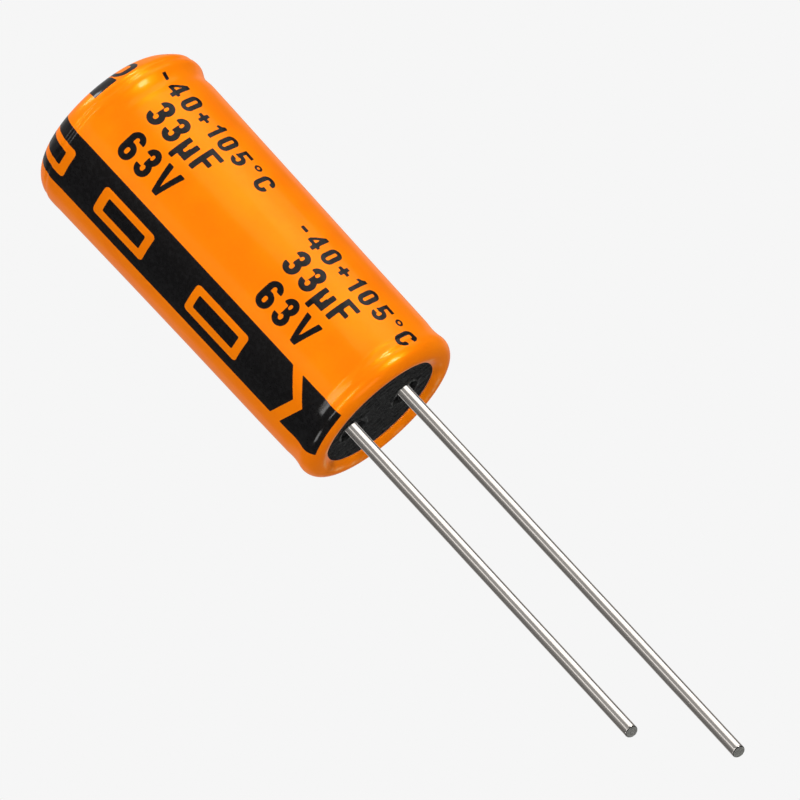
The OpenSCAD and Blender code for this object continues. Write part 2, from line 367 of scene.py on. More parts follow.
@cache
def mottled() -> bpy.types.NodeTree:
    """The shared group of soft patches with fine grain on them, built once.

    Returns:
        The group.
    """
    board, given = new_group("mottle", {"Patch": 900.0, "Grain": 9000.0},
                             ("Patches", "Grain", "Height"))
    patches = board.noise(given["Patch"], 4.0)
    grain = board.noise(given["Grain"], 3.0, 0.6)
    height = board.math("MULTIPLY_ADD", patches, 0.35, grain)
    board.add("NodeGroupOutput", {"Patches": patches, "Grain": grain, "Height": height})
    return board.tree


@cache
def drawn_lines() -> bpy.types.NodeTree:
    """The shared group of pits and of lines along Z, as a die leaves them, built once.

    Returns:
        The group.
    """
    board, given = new_group("drawn lines", {"Lines": 14000.0, "Length": 0.02}, ("Lines", "Pits"))
    squeeze = board.add("CombineXYZ", {0: 1.0, 1: 1.0, 2: given["Length"]}).outputs[0]
    lengthwise = board.add("VectorMath", {0: board.place(), 1: squeeze}, operation="MULTIPLY")
    lines = board.noise(given["Lines"], 5.0, 0.7, lengthwise.outputs[0])
    pits = board.ramp(board.noise(6000.0, 4.0, 0.7), 0.56, 0.72)
    board.add("NodeGroupOutput", {"Lines": lines, "Pits": pits})
    return board.tree


# Finishes

class Finish(ABC):
    """A finish: nodes of its own that feed the inputs of one shader."""

    name: str

    @abstractmethod
    def inputs(self, board: Board) -> dict[str, object]:
        """Adds the finish's own nodes.

        Args:
            board: The material's board.

        Returns:
            Names of the shader's inputs, each with a value or an output.
        """

    def build(self) -> bpy.types.Material:
        """Makes the material.

        Returns:
            The material.
        """
        material = bpy.data.materials.new(self.name)
        board = Board.cleared(material)
        shader = board.add("BsdfPrincipled", self.inputs(board))
        board.add("OutputMaterial", {"Surface": shader.outputs[0]})
        return material


@dataclass(frozen=True)
class FilmFinish(Finish):
    """Glossy shrunk PVC film with its print: the ink attribute is how far inside the ink a point is.

    The edge is half the width in which film turns to ink, and ragged is how far that edge strays.
    """

    name: str = "sleeve film"
    film: Colour = (0.95, 0.216, 0.001)
    deep: Colour = (0.93, 0.196, 0.001)
    bright: Colour = (1.0, 0.3, 0.004)
    # Colour of the painted highlight on the rim's curl.
    painted_highlight: Colour = (1.0, 0.48, 0.17)
    ink: Colour = (0.0032, 0.0032, 0.0036)
    dusty_ink: Colour = (0.011, 0.011, 0.012)
    tint: Colour = (1.0, 0.5, 0.12)
    patch: float = 420.0
    grain: float = 5200.0
    edge: float = 0.012
    ragged: float = 0.016
    metallic: float = 0.34
    specular: float = 0.02
    coat: float = 0.17
    coat_on_ink: float = 0.37
    coat_roughness: float = 0.13
    relief: float = 0.16

    def inputs(self, board: Board) -> dict[str, object]:
        """Adds the film, the ink over it and a painted highlight, a pale ring along the rim's curl.

        Args:
            board: The material's board.

        Returns:
            The shader's inputs.
        """
        mottle = board.group(mottled(), Patch=self.patch, Grain=self.grain)
        stray = board.math("MULTIPLY_ADD", board.noise(26000.0, 2.0), self.ragged, -self.ragged / 2)
        printed = board.ramp(board.math("ADD", board.attribute("ink"), stray), -self.edge, self.edge)
        film = board.blend(board.ramp(mottle["Patches"], 0.36, 0.66), self.deep, self.film)
        film = board.blend(board.ramp(mottle["Grain"], 0.35, 0.7, 0.0, 0.07), film, self.bright)
        # Painted highlight: a patchy pale ring on the rim's curl, in place of the light that the curl
        # catches.
        patchy = board.ramp(board.noise(2600.0), 0.36, 0.62, 0.15, 0.75)
        film = board.blend(board.math("MULTIPLY", board.attribute("painted_light"), patchy), film, self.painted_highlight)
        ink = board.blend(board.ramp(mottle["Grain"], 0.4, 0.75, 0.0, 0.5), self.ink, self.dusty_ink)
        roughness = board.ramp(mottle["Patches"], 0.3, 0.7, 0.32, 0.4)
        height = board.math("MULTIPLY_ADD", mottle["Height"], 0.5, board.math("MULTIPLY", printed, 0.6))
        return {
            "Base Color": board.blend(printed, film, ink),
            "Roughness": board.math("MULTIPLY_ADD", printed, 0.04, roughness),
            "Metallic": board.math("MULTIPLY_ADD", printed, -self.metallic, self.metallic),
            "Specular IOR Level": self.specular, "Specular Tint": opaque(self.tint),
            "Coat Weight": board.math("MULTIPLY_ADD", printed, self.coat_on_ink - self.coat, self.coat),
            "Coat Roughness": self.coat_roughness,
            "Normal": board.bump(height, self.relief, 0.012)}


@dataclass(frozen=True)
class RubberFinish(Finish):
    """Moulded black rubber, mottled and faintly dusty.

    The attribute is one on a lip's crest, painted pale as a highlight, and minus one on a moat floor,
    painted near black as shade.
    """

    name: str = "seal rubber"
    dark: Colour = (0.0003, 0.0004, 0.0004)
    pale: Colour = (0.019, 0.0195, 0.0185)
    speck: Colour = (0.045, 0.047, 0.045)
    # Painted highlight colour for the lips' crests, then painted shade colour for the moat floors.
    painted_highlight: Colour = (0.085, 0.088, 0.085)
    painted_shade: Colour = (0.0003, 0.0003, 0.0003)
    patch: float = 3400.0
    grain: float = 15000.0
    specular: float = 0.15
    relief: float = 0.7

    def inputs(self, board: Board) -> dict[str, object]:
        """Adds the mottled rubber, its specks, the painted highlight on the lips and the painted shade
        in the moats.

        Args:
            board: The material's board.

        Returns:
            The shader's inputs.
        """
        mottle = board.group(mottled(), Patch=self.patch, Grain=self.grain)
        painted_light = board.attribute("painted_light")
        specks = board.ramp(board.noise(21000.0, 2.0, 0.7), 0.6, 0.72)
        # Painted highlight: paler rubber on the lips' crests.
        painted_highlight = board.math("MULTIPLY", board.math("MAXIMUM", painted_light, 0.0),
                            board.ramp(mottle["Grain"], 0.35, 0.6, 0.3, 1.0))
        # Painted shade: near-black rubber on the moat floors.
        painted_shade = board.math("MAXIMUM", board.math("MULTIPLY", painted_light, -1.0), 0.0)
        colour = board.blend(board.ramp(mottle["Patches"], 0.4, 0.64), self.dark, self.pale)
        colour = board.blend(board.math("MULTIPLY", specks, 0.6), colour, self.speck)
        colour = board.blend(painted_highlight, colour, self.painted_highlight)
        return {
            "Base Color": board.blend(painted_shade, colour, self.painted_shade),
            "Roughness": board.ramp(mottle["Patches"], 0.3, 0.7, 0.38, 0.6),
            "Specular IOR Level": self.specular,
            "Normal": board.bump(mottle["Height"], self.relief, 0.04)}


@dataclass(frozen=True)
class MetalFinish(Finish):
    """Metal with drawing lines along Z and small pits: tinned wire, aluminium and foils.

    A cut end is the colour of the shorn metal that the cut attribute marks. Scored_at is the height
    of the closed end, whose scored lines, out to score_r, get painted shade: the metal there is darker.
    """

    name: str
    colour: Colour
    shade: Colour
    smooth_as: float
    rough_as: float
    lines: float = 14000.0
    length: float = 0.02
    relief: float = 0.25
    pits: float = 0.5
    metallic: float = 1.0
    cut_end: Colour | None = None
    cut_rim: Colour = (0.02, 0.02, 0.02)
    scored_at: float | None = None
    # Colour of the painted shade in the scored lines.
    painted_score_shade: Colour = (0.2, 0.2, 0.21)
    score_r: float = 2.6

    def inputs(self, board: Board) -> dict[str, object]:
        """Adds the drawn metal, and the painted shade in the scored lines or the shorn end where it has
        them.

        Args:
            board: The material's board.

        Returns:
            The shader's inputs.
        """
        drawn = board.group(drawn_lines(), Lines=self.lines, Length=self.length)
        pits = board.math("MULTIPLY", drawn["Pits"], self.pits)
        colour = board.blend(board.ramp(drawn["Lines"], 0.3, 0.7), self.shade, self.colour)
        inputs = {
            "Base Color": board.blend(pits, colour, self.shade),
            "Metallic": self.metallic,
            "Roughness": board.ramp(drawn["Lines"], 0.25, 0.75, self.smooth_as, self.rough_as),
            "Normal": board.bump(drawn["Lines"], self.relief, 0.01)}
        if not (self.cut_end or self.scored_at):
            return inputs
        marked = board.attribute("cut") if self.cut_end else self.scored(board)
        dull = board.math("MULTIPLY", marked, 0.5)
        inputs["Roughness"] = board.math("MAXIMUM", inputs["Roughness"], dull)
        if self.scored_at:
            # Painted shade: the scored lines, sunk under the closed end, are darker.
            return inputs | {"Base Color": board.blend(marked, inputs["Base Color"], self.painted_score_shade)}
        grit = board.ramp(board.noise(22000.0, 3.0, 0.7), 0.35, 0.7)
        shorn = board.blend(grit, self.cut_end, tuple(1.6 * value for value in self.cut_end))
        rim = board.math("MULTIPLY", board.math("MULTIPLY", marked, 4.0),
                         board.math("SUBTRACT", 1.0, marked))
        colour = board.blend(marked, inputs["Base Color"], shorn)
        return inputs | {"Base Color": board.blend(rim, colour, self.cut_rim),
                         "Metallic": board.math("MULTIPLY_ADD", marked, -0.8, self.metallic)}

    def scored(self, board: Board) -> Socket:
        """Finds the scored lines: near the axis, sunk under the closed end, and not the inside.

        Args:
            board: The material's board.

        Returns:
            One in the scored lines and zero elsewhere.
        """
        x, y, z = board.add("SeparateXYZ", {0: board.place()}).outputs
        square = board.math("MULTIPLY_ADD", x, x, board.math("MULTIPLY", y, y))
        near = board.ramp(board.math("SQRT", square), (self.score_r - 0.15) * MM, self.score_r * MM,
                          1.0, 0.0)
        sunk = board.ramp(z, (self.scored_at - 0.02) * MM, self.scored_at * MM, 1.0, 0.0)
        above = board.ramp(z, (self.scored_at - 0.2) * MM, (self.scored_at - 0.16) * MM)
        return board.math("MULTIPLY", board.math("MULTIPLY", near, sunk), above)


@dataclass(frozen=True)
class SheetFinish(Finish):
    """Dull sheet with fibres: separator paper and the winding's tape."""

    name: str
    colour: Colour
    shade: Colour
    roughness: float
    patch: float = 1500.0
    grain: float = 12000.0
    relief: float = 0.35

    def inputs(self, board: Board) -> dict[str, object]:
        """Adds the mottled sheet.

        Args:
            board: The material's board.

        Returns:
            The shader's inputs.
        """
        mottle = board.group(mottled(), Patch=self.patch, Grain=self.grain)
        colour = board.blend(board.ramp(mottle["Patches"], 0.35, 0.65), self.shade, self.colour)
        fibres = board.ramp(mottle["Grain"], 0.45, 0.7, 0.0, 0.4)
        return {
            "Base Color": board.blend(fibres, colour, self.shade),
            "Roughness": board.ramp(mottle["Grain"], 0.3, 0.7, self.roughness, self.roughness + 0.12),
            "Normal": board.bump(mottle["Height"], self.relief, 0.02)}


@dataclass(frozen=True)
class FloorFinish(Finish):
    """Pale floor, lifted for the camera to the background's tone, that keeps the shadow."""

    name: str = "pale floor"
    colour: Colour = (0.7, 0.7, 0.7)
    lift: float = 0.34

    def inputs(self, board: Board) -> dict[str, object]:
        """Adds the light that only the camera sees.

        Args:
            board: The material's board.

        Returns:
            The shader's inputs.
        """
        seen = board.add("LightPath").outputs["Is Camera Ray"]
        return {
            "Base Color": opaque(self.colour), "Roughness": 0.8, "Specular IOR Level": 0.1,
            "Emission Color": (1.0, 1.0, 1.0, 1.0),
            "Emission Strength": board.math("MULTIPLY", seen, self.lift)}


# The print: bold upright figures and unit signs on a capital height of one, with their widths

WIDE = 0.57
STROKE = (0.215, 0.1935)


def ring(low: Point, high: Point, bend: float = WIDE / 2) -> Shape:
    """A box between two corners less the same box moved in by a stroke."""
    inner = [(low[0] + STROKE[0], low[1] + STROKE[1]), (high[0] - STROKE[0], high[1] - STROKE[1])]
    return less(box(low, high, bend), box(*inner, max(0.05, bend - STROKE[0])))


SIGNS: dict[str, tuple[float, Shape]] = {
    "0": (WIDE, ring((0, 0), (WIDE, 1))),
    "1": (0.41, outline((0.19, 0), (0.385, 0), (0.385, 1), (0.23, 1), (0.17, 0.87), (0.03, 0.79),
                        (0.03, 0.63), (0.19, 0.7))),
    "3": (WIDE, less(union(ring((0, 0), (WIDE, 0.585)), ring((0.02, 0.42), (WIDE - 0.01, 1))),
                     box((-0.2, 0.3), (0.205, 0.7)))),
    "4": (0.6, less(outline((0.31, 0), (0.505, 0), (0.505, 0.2), (0.6, 0.2), (0.6, 0.37),
                            (0.505, 0.37), (0.505, 1), (0.32, 1), (0, 0.39), (0, 0.2), (0.31, 0.2)),
                    outline((0.31, 0.37), (0.31, 0.7), (0.145, 0.37)))),
    "5": (WIDE, union(less(ring((0, 0), (WIDE, 0.64)), box((-0.2, 0.28), (0.21, 0.41))),
                      outline((0.05, 0.4), (0.23, 0.47), (0.23, 0.82), (WIDE - 0.03, 0.82),
                              (WIDE - 0.03, 1), (0.07, 1)))),
    "6": (WIDE, union(less(ring((0, 0), (WIDE, 1)), box((0.22, 0.35), (WIDE + 0.2, 0.715))),
                      ring((0, 0), (WIDE, 0.61)))),
    "C": (0.62, less(ring((0, 0), (0.62, 1), 0.3), box((0.3, 0.36), (0.9, 0.64)))),
    "F": (WIDE, outline((0, 0), (0.2, 0), (0.2, 0.4), (0.49, 0.4), (0.49, 0.575), (0.2, 0.575),
                        (0.2, 0.825), (WIDE, 0.825), (WIDE, 1), (0, 1))),
    "V": (0.74, outline((0, 1), (0.215, 1), (0.37, 0.28), (0.525, 1), (0.74, 1), (0.475, 0),
                        (0.265, 0))),
    "µ": (0.54, union(less(ring((0, 0), (0.54, 0.9), 0.26), box((-9, 0.4), (9, 9))),
                      box((0, -0.22), (0.19, 0.66)), box((0.35, 0), (0.54, 0.66)))),
    "°": (0.34, less(box((0, 0.66), (0.34, 1), 0.17), box((0.1, 0.76), (0.24, 0.9), 0.07))),
    "-": (0.39, box((0.03, 0.37), (0.36, 0.55))),
    "+": (0.52, union(box((0, 0.37), (0.52, 0.54)), box((0.17, 0.19), (0.35, 0.72))))}


@dataclass(frozen=True)
class Line:
    """A line of plain rating figures that reads from the closed end to the leads."""

    signs: str
    start: float
    azimuth: float
    capital: float
    gap: float = 0.16


@dataclass
class Print:
    """The sleeve's black print in one flat field: u round the can and h along it, both in mm.

    u counts from the direction that faces the viewer, and h is the height above the seating plane
    measured along the film. The stripe, window and bar give the azimuths of their sides, a row of
    windows the heights where a window and its bar begin and end, and the arrow its corners.
    """

    radius: float = 4.2
    stripe: Point = (-57.0, -19.0)
    stripe_foot: Point = (0.07, 0.12)
    stripe_top: float = 20.9
    window: Point = (-48.8, -28.0)
    bar: Point = (-43.0, -33.0)
    windows: tuple[tuple[float, float, float, float], ...] = (
        (5.5, 8.87, 5.92, 8.5), (11.7, 14.95, 12.1, 14.5), (16.95, 21.2, 17.38, 21.2))
    arrow: tuple[Point, ...] = (
        (-54.5, 2.27), (-35, 1.69), (-18.5, 2.66), (-18.3, 3.31), (-35, 2.27), (-54.5, 2.86))
    overrun: float = 0.4
    lines: tuple[Line, ...] = (
        Line("33µF", 16.07, 15.6, 1.41), Line("33µF", 6.93, 15.0, 1.41),
        Line("63V", 15.73, -10.6, 1.42, 0.17), Line("63V", 6.59, -10.6, 1.42, 0.17),
        Line("-40+105°C", 17.3, 38.2, 1.14, 0.22), Line("-40+105°C", 7.9, 38.2, 1.14, 0.22))

    def across(self, degrees: float) -> float:
        """u of an azimuth."""
        return math.radians(degrees) * self.radius

    def patch(self, low: Point, high: Point, bend: float = 0.0) -> Shape:
        """A box whose corners are each an azimuth and a height."""
        return box((self.across(low[0]), low[1]), (self.across(high[0]), high[1]), bend)

    def arrow_gap(self) -> Shape:
        """The bent gap of the arrow, whose ends run on past the stripe along their slopes.

        Returns:
            The shape.
        """
        corners = np.array([(self.across(azimuth), height) for azimuth, height in self.arrow])
        tip = corners[1]
        for ends, out in (([0, 5], -self.overrun), ([2, 3], self.overrun)):
            run, rise = corners[ends[0]] - tip
            corners[ends] += out * np.array([1, rise / run])
        return outline(*corners)

    def striped(self) -> Shape:
        """The stripe, with its windows' lines and its arrow gap taken out.

        Returns:
            The shape.
        """
        left, right = map(self.across, self.stripe)
        shape = outline((left, self.stripe_foot[0]), (right, self.stripe_foot[1]),
                        (right, self.stripe_top), (left, self.stripe_top))
        for low, high, bar_low, bar_high in self.windows:
            window = self.patch((self.window[0], low), (self.window[1], high), 0.2)
            bar = self.patch((self.bar[0], bar_low), (self.bar[1], bar_high), 0.06)
            shape = less(shape, less(window, bar))
        return less(shape, self.arrow_gap())

    def figures(self, line: Line) -> Shape:
        """A line of figures, each of which starts where the last one ends.

        Args:
            line: The line.

        Returns:
            The shape.
        """
        def gap(u: Array, h: Array) -> Array:
            """Signed distance to the figures."""
            x, y = (line.start - h) / line.capital, (u - self.across(line.azimuth)) / line.capital
            gaps, at = [], 0.0
            for width, sign in map(SIGNS.get, line.signs):
                gaps.append(sign(x - at, y))
                at += width + line.gap
            return np.minimum.reduce(gaps) * line.capital
        return gap

    def marks(self) -> Shape:
        """Two plain marks on the shoulder: a bar and a ring."""
        return union(self.patch((2.0, 18.12), (19.2, 19.5)),
                     less(self.patch((20.2, 18.1), (38.5, 19.6), 0.5),
                          self.patch((24.0, 18.42), (34.5, 19.3), 0.22)))

    def ink(self, u: Array, h: Array) -> Array:
        """How far inside the ink a place is, in millimetres, negative on bare film."""
        return -union(self.striped(), self.marks(), *map(self.figures, self.lines))(u, h)


# The can's section and the pieces

@dataclass(frozen=True)
class Hollow:
    """A hollow round the can over the curl: its least radius, its bend and the bend after it."""

    least: float
    bend: float
    next_bend: float


@dataclass
class Section:
    """The can's section, in millimetres: every skin in and out of it is one offset."""

    body_h: float = 18.8
    can_d: float = 7.94
    can_swell: float = 0.4
    bead_lift: float = 0.06
    corner_r: float = 1.17
    can_wall: float = 0.25
    curl_r: float = 0.53
    curl_flare: float = 0.05
    curl_end: float = 226.0
    groove_deep: float = 0.45
    groove_r: float = 0.55
    groove_bend: float = 0.4
    sleeve_t: float = 0.12
    waist_dip: float = 0.03
    waist_r: float = 2.6
    fit: float = 0.01

    @property
    def skin(self) -> float:
        """How far the sleeve's outside lies out from the bare can."""
        return self.sleeve_t + self.fit

    @property
    def wall_r(self) -> float:
        """Radius of the bare can above its groove."""
        return self.can_d / 2

    @property
    def curl_centre(self) -> Point:
        """Centre of the curl's circle."""
        return self.wall_r + self.curl_flare - self.curl_r, self.curl_r + self.skin

    @property
    def waist(self) -> Hollow:
        """The shallow hollow that the film makes over the groove."""
        return Hollow(self.wall_r - self.waist_dip, self.waist_r, self.waist_r)

    @property
    def groove(self) -> Hollow:
        """The groove that grips the bung."""
        return Hollow(self.wall_r - self.groove_deep, self.groove_r, self.groove_bend)

    def foot(self, out: float, start: float, hollow: Hollow) -> Array:
        """Skin from an angle on the curl over a hollow to the wall: three touching arcs.

        The centres of two arcs that touch lie both radii apart, which gives each one's height.

        Args:
            out: How far the skin lies out from the bare can.
            start: Angle on the curl where it begins, in degrees.
            hollow: The hollow.

        Returns:
            Points of radius and height.
        """
        curl, bend, after = np.array(self.curl_centre), hollow.bend, hollow.next_bend
        x = hollow.least + bend
        dip = np.array([x, curl[1] + math.sqrt((self.curl_r + bend) ** 2 - (x - curl[0]) ** 2)])
        x = self.wall_r - after
        wall = np.array([x, dip[1] + math.sqrt((bend + after) ** 2 - (dip[0] - x) ** 2)])
        leave = math.degrees(math.atan2(*(dip - curl)[::-1]))
        reach = math.degrees(math.atan2(*(wall - dip)[::-1]))
        return np.vstack([arc(curl, self.curl_r + out, start - 360, leave),
                          arc(dip, bend - out, leave + 180, reach),
                          arc(wall, after + out, reach - 180, 0)])

    def head(self, out: float, stop: float) -> Array:
        """Skin from the wall over the bead to the flat closed end, as two touching arcs.

        Args:
            out: How far the skin lies out from the bare can.
            stop: Radius where it stops on the closed end.

        Returns:
            Points of radius and height.
        """
        high_r, top = self.wall_r + self.can_swell / 2, self.body_h - self.skin
        x, y = high_r + self.bead_lift - self.corner_r, top - self.corner_r
        neck_x, reach = high_r + self.waist_r, self.corner_r + self.waist_r
        neck_y = y - math.sqrt(reach ** 2 - (neck_x - x) ** 2)
        meet = math.degrees(math.atan2(y - neck_y, x - neck_x))
        return np.vstack([arc((neck_x, neck_y), self.waist_r - out, 180, meet),
                          arc((x, y), self.corner_r + out, meet - 180, 90), [[stop, top + out]]])


@dataclass
class ShrunkSleeve:
    """The printed film round the can, from inside the rim to its edge on the closed end.

    Phi counts from the direction that faces the viewer. At the closed end a bead stands out on the
    right, over a hollow and with a crease along it, and shrink folds and a dent lie near the rim.
    """

    section: Section
    facing: float
    printed: Print = field(default_factory=Print)
    open_r: float = 3.0
    end_angle: float = 219.0
    row_spacing: float = 0.062
    inner_spacing: float = 0.5
    print_from: float = -60.0
    print_to: float = 62.0
    print_step: float = 0.86
    plain_step: float = 3.2
    sway: float = 0.006
    bead_at: float = 17.72
    bead_flat: float = 0.22
    bead_fade: float = 0.28
    bead_out: float = 0.16
    bead_in: float = 0.045
    hollow_at: float = 16.78
    hollow_fade: float = 0.27
    hollow_deep: float = 0.05
    crease_at: float = 17.75
    crease_fade: float = 0.1
    crease_deep: float = 0.034
    crease_stray: float = 0.05
    fold_at: float = 1.05
    fold_pitch: float = 0.46
    fold_slant: float = 0.007
    fold_deep: float = 0.02
    dent_deep: float = 0.028
    mid_wall: float = 9.0
    # Angle on the curl where the painted highlight ring lies.
    highlight_angle: float = -104.0
    edge_stray: float = 0.012

    @cached_property
    def phi(self) -> Array:
        """Azimuths of the columns: dense over the print, wider elsewhere.

        Returns:
            The azimuths.
        """
        dense = np.arange(self.print_from, self.print_to, self.print_step)
        behind = self.print_from + 360
        count = round((behind - self.print_to) / self.plain_step)
        return np.concatenate([dense, np.linspace(self.print_to, behind, count, endpoint=False)])

    @cached_property
    def outer(self) -> Array:
        """The outer side of the film's section."""
        return self.side(self.section.skin, self.row_spacing)

    def side(self, out: float, spacing: float) -> Array:
        """One side of the film's section, from its end inside the rim to its edge on the can."""
        foot = self.section.foot(out, self.end_angle, self.section.waist)
        return respaced(np.vstack([foot, self.section.head(out, self.open_r)]), spacing)

    def folds(self, height: Array) -> Array:
        """Slanting shrink folds near the rim, strongest on the right of the front, and a dent.

        The folds are a cosine wave along the height, moved on by a slant and by noise, and kept to
        a patch by two bell curves. The dent is two bell curves.

        Args:
            height: Heights, by columns.

        Returns:
            How far the film stands out.
        """
        phi = self.phi
        place = height - self.fold_at - self.fold_slant * (phi - 20)
        wave = np.cos(place * 2 * np.pi / self.fold_pitch + 0.8 * ripple(phi / 18, height, 3.0, 14))
        keep = hump(height, 1.0, 0.42) * hump(phi, 32, 26)
        dent = hump(height, 1.25, 0.16) * hump(phi, -6, 22)
        return self.fold_deep * keep * wave - self.dent_deep * dent

    def wander(self, height: Array) -> Array:
        """How far the outside strays from the true section, on the radius.

        The film sags and swells by a few microns. On the right the bead at the closed end
        stands proud and a hollow runs under it, and on the left both fade out.

        Args:
            height: Heights, by columns.

        Returns:
            How far the film stands out.
        """
        turn = np.radians(self.phi)
        right = smooth(-0.35, 0.95, np.sin(turn + 0.15))
        bead = hump(np.maximum(np.abs(height - self.bead_at) - self.bead_flat, 0), 0, self.bead_fade)
        hollow = hump(height, self.hollow_at, self.hollow_fade)
        stray = self.crease_stray * ripple(self.phi / 30, 0 * turn, 2.0, 12)
        body = smooth(0.9, 2.2, height) * (1 - smooth(18.2, 18.7, height))
        slow = self.sway * ripple(4.2 * np.sin(turn) * 1.4 + 3, height * 0.5 + 4.2 * np.cos(turn),
                                  4.2, 3)
        return (body * slow + bead * (self.bead_out * right - self.bead_in)
                - self.hollow_deep * right * hollow
                - self.crease_deep * hump(height - self.crease_at - stray, 0, self.crease_fade)
                + self.folds(height))

    def outside(self) -> Array:
        """Turns the outer section about the axis, moved by wander and cut unevenly at its edge.

        Returns:
            Points by columns by 3.
        """
        turn = np.radians(self.phi + self.facing)
        points = turned(self.outer, turn)
        level = np.hypot(points[..., 0], points[..., 1])
        moved = level + self.wander(points[..., 2]) * smooth(3.9, 4.1, level)
        points[..., :2] *= (moved / level)[..., None]
        edge = 1 - smooth(0.0, 0.5, np.abs(self.outer[:, :1] - self.open_r))
        edge *= self.outer[:, 1:] > self.mid_wall
        cut = 1 + edge * self.edge_stray * ripple(3 * np.cos(turn), 3 * np.sin(turn), 2.2, 8)
        points[..., :2] *= cut[..., None]
        return points

    def ink(self) -> Array:
        """How far inside the print each point of the outside is.

        The height along the film is counted from the point at mid wall, where it is the true one.

        Returns:
            The distances, negative on bare film.
        """
        radius, height = self.outer.T
        on_wall = np.argmin(np.abs(height - self.mid_wall) + 9 * (radius < 3.9))
        run = run_of(self.outer)
        along = (run - run[on_wall] + height[on_wall])[:, None] + 0 * self.phi
        half = np.pi * self.printed.radius
        u = (np.radians(self.phi) * self.printed.radius + half) % (2 * half) - half
        return self.printed.ink(u + 0 * along, along)

    def painted_light_map(self) -> Array:
        """How much painted highlight each point of the outside gets: an uneven pale ring on the rim's
        curl.

        Returns:
            Shares from zero to one.
        """
        centre = self.section.curl_centre
        angle = np.degrees(np.arctan2(self.outer[:, 1:] - centre[1], self.outer[:, :1] - centre[0]))
        # Painted highlight: a ring on the underside of the curl, near the rim.
        painted_highlight = hump(angle, self.highlight_angle, 7) * (self.outer[:, 1:] < 0.3)
        return painted_highlight * smooth(-0.9, 0.9, ripple(self.phi / 16, 0 * self.phi, 2.0, 17))

    def build(self) -> bpy.types.Object:
        """Makes the film's closed mesh with its print and its painted highlight.

        Returns:
            The piece.
        """
        inner = self.side(self.section.fit, self.inner_spacing)[::-1]
        inside = turned(inner, np.radians(self.phi + self.facing))
        bare = np.zeros(inside.shape[:2])
        return mesh_from_grid("shrunk_sleeve", np.vstack([self.outside(), inside]), {
            "ink": np.vstack([self.ink(), bare - 1]), "painted_light": np.vstack([self.painted_light_map(), bare])})


@dataclass
class RubberSeal:
    """The black bung: its gripped side, and a face with a moat and a pushed-up lip at each lead."""

    section: Section
    face_deep: float = 0.33
    height: float = 2.9
    moat_r: float = 0.65
    moat_deep: float = 0.12
    lip_h: float = 0.05
    lip_w: float = 0.22
    torn: float = 0.045
    fold_h: float = 0.018
    columns: int = 300
    face_rows: int = 118
    back_rows: int = 8

    def relief(self, x: Array, y: Array) -> tuple[Array, Array]:
        """Height of the face over its plane, towards the can, and the light and shade painted on the
        rubber there.

        Each lead's relief is a function of the distance and the bearing from its axis: a flat moat
        floor with a soft slope, a rounded lip outside it, and spiral folds that fade away from both.

        Args:
            x, y: Places on the face.

        Returns:
            The heights, and the painted light: one for a painted highlight on a lip's back, minus one
                for painted shade on a moat's floor.
        """
        total = 0.007 * ripple(x, y, 0.5, 21) + 0.005 * ripple(x, y, 0.17, 22)
        painted_light = np.zeros_like(total)
        for side in (-1, 1):
            away = np.hypot(x - side * LEAD_AT, y)
            bearing = np.arctan2(y, x - side * LEAD_AT)
            stray = ripple(np.cos(bearing) * 1.3, np.sin(bearing) * 1.3 + side, 1.1, 31 + side)
            uneven = away + self.torn * stray
            moat = 1 - smooth(self.moat_r - 0.13, self.moat_r + 0.05, uneven)
            lip = hump(uneven, self.moat_r + self.lip_w / 2, self.lip_w * 0.42)
            folds = np.cos(5 * bearing + 9 * np.log(away + 0.05) * side + 2 * stray)
            total += (self.moat_deep * moat - self.lip_h * (1.15 + 0.5 * folds) * lip
                      + self.fold_h * folds * hump(away, self.moat_r, 0.28))
            # Painted light: a highlight on the crest of each lip, and shade on each moat floor.
            crest = hump(uneven, self.moat_r + self.lip_w * 0.55, 0.045)
            painted_light += crest * smooth(-0.6, 0.9, folds + 0.6 * ripple(x, y, 0.6, 41 + side)) - moat
        return total, painted_light

    def build(self) -> bpy.types.Object:
        """Makes the closed mesh: a polar grid over the face, then the gripped side and the back.

        Returns:
            The piece.
        """
        s = self.section
        gripped = s.foot(-s.can_wall - s.fit, s.curl_end - 4.0, s.groove)
        curl_tip = arc(s.curl_centre, s.curl_r, s.curl_end, s.curl_end)[0]
        rim = curl_tip[0] - max(0.0, curl_tip[1] - self.face_deep)
        top, top_r = self.face_deep + self.height, s.wall_r - s.can_wall - s.fit
        across, back = np.linspace(0, rim, self.face_rows), np.linspace(top_r, 0, self.back_rows)
        face = np.stack([across, np.full_like(across, self.face_deep)], 1)
        back = np.stack([back, np.full_like(back, top)], 1)
        turn = np.radians(np.linspace(0, 360, self.columns, endpoint=False))
        points = turned(np.vstack([face, respaced(gripped, 0.08), back]), turn)
        on_face = points[:self.face_rows]
        height, painted_light = self.relief(on_face[..., 0], on_face[..., 1])
        fade = 1 - smooth(rim - 0.25, rim, face[:, :1])
        on_face[..., 2] += fade * height
        # Painted light on the face, faded out towards the rim.
        painted_light_map = np.zeros(points.shape[:2])
        painted_light_map[:self.face_rows] = painted_light * fade
        return mesh_from_grid("rubber_seal", points, {"painted_light": painted_light_map}, poles=True)


class Side(Enum):
    """The two leads, each with its node, where it stands and how far it hangs down."""

    POSITIVE = ("positive_lead", LEAD_AT, 21.4)
    NEGATIVE = ("negative_lead", -LEAD_AT, 17.9)

    def __init__(self, node: str, at: float, length: float) -> None:
        """Names what a lead's value holds."""
        self.node, self.at, self.length = node, at, length


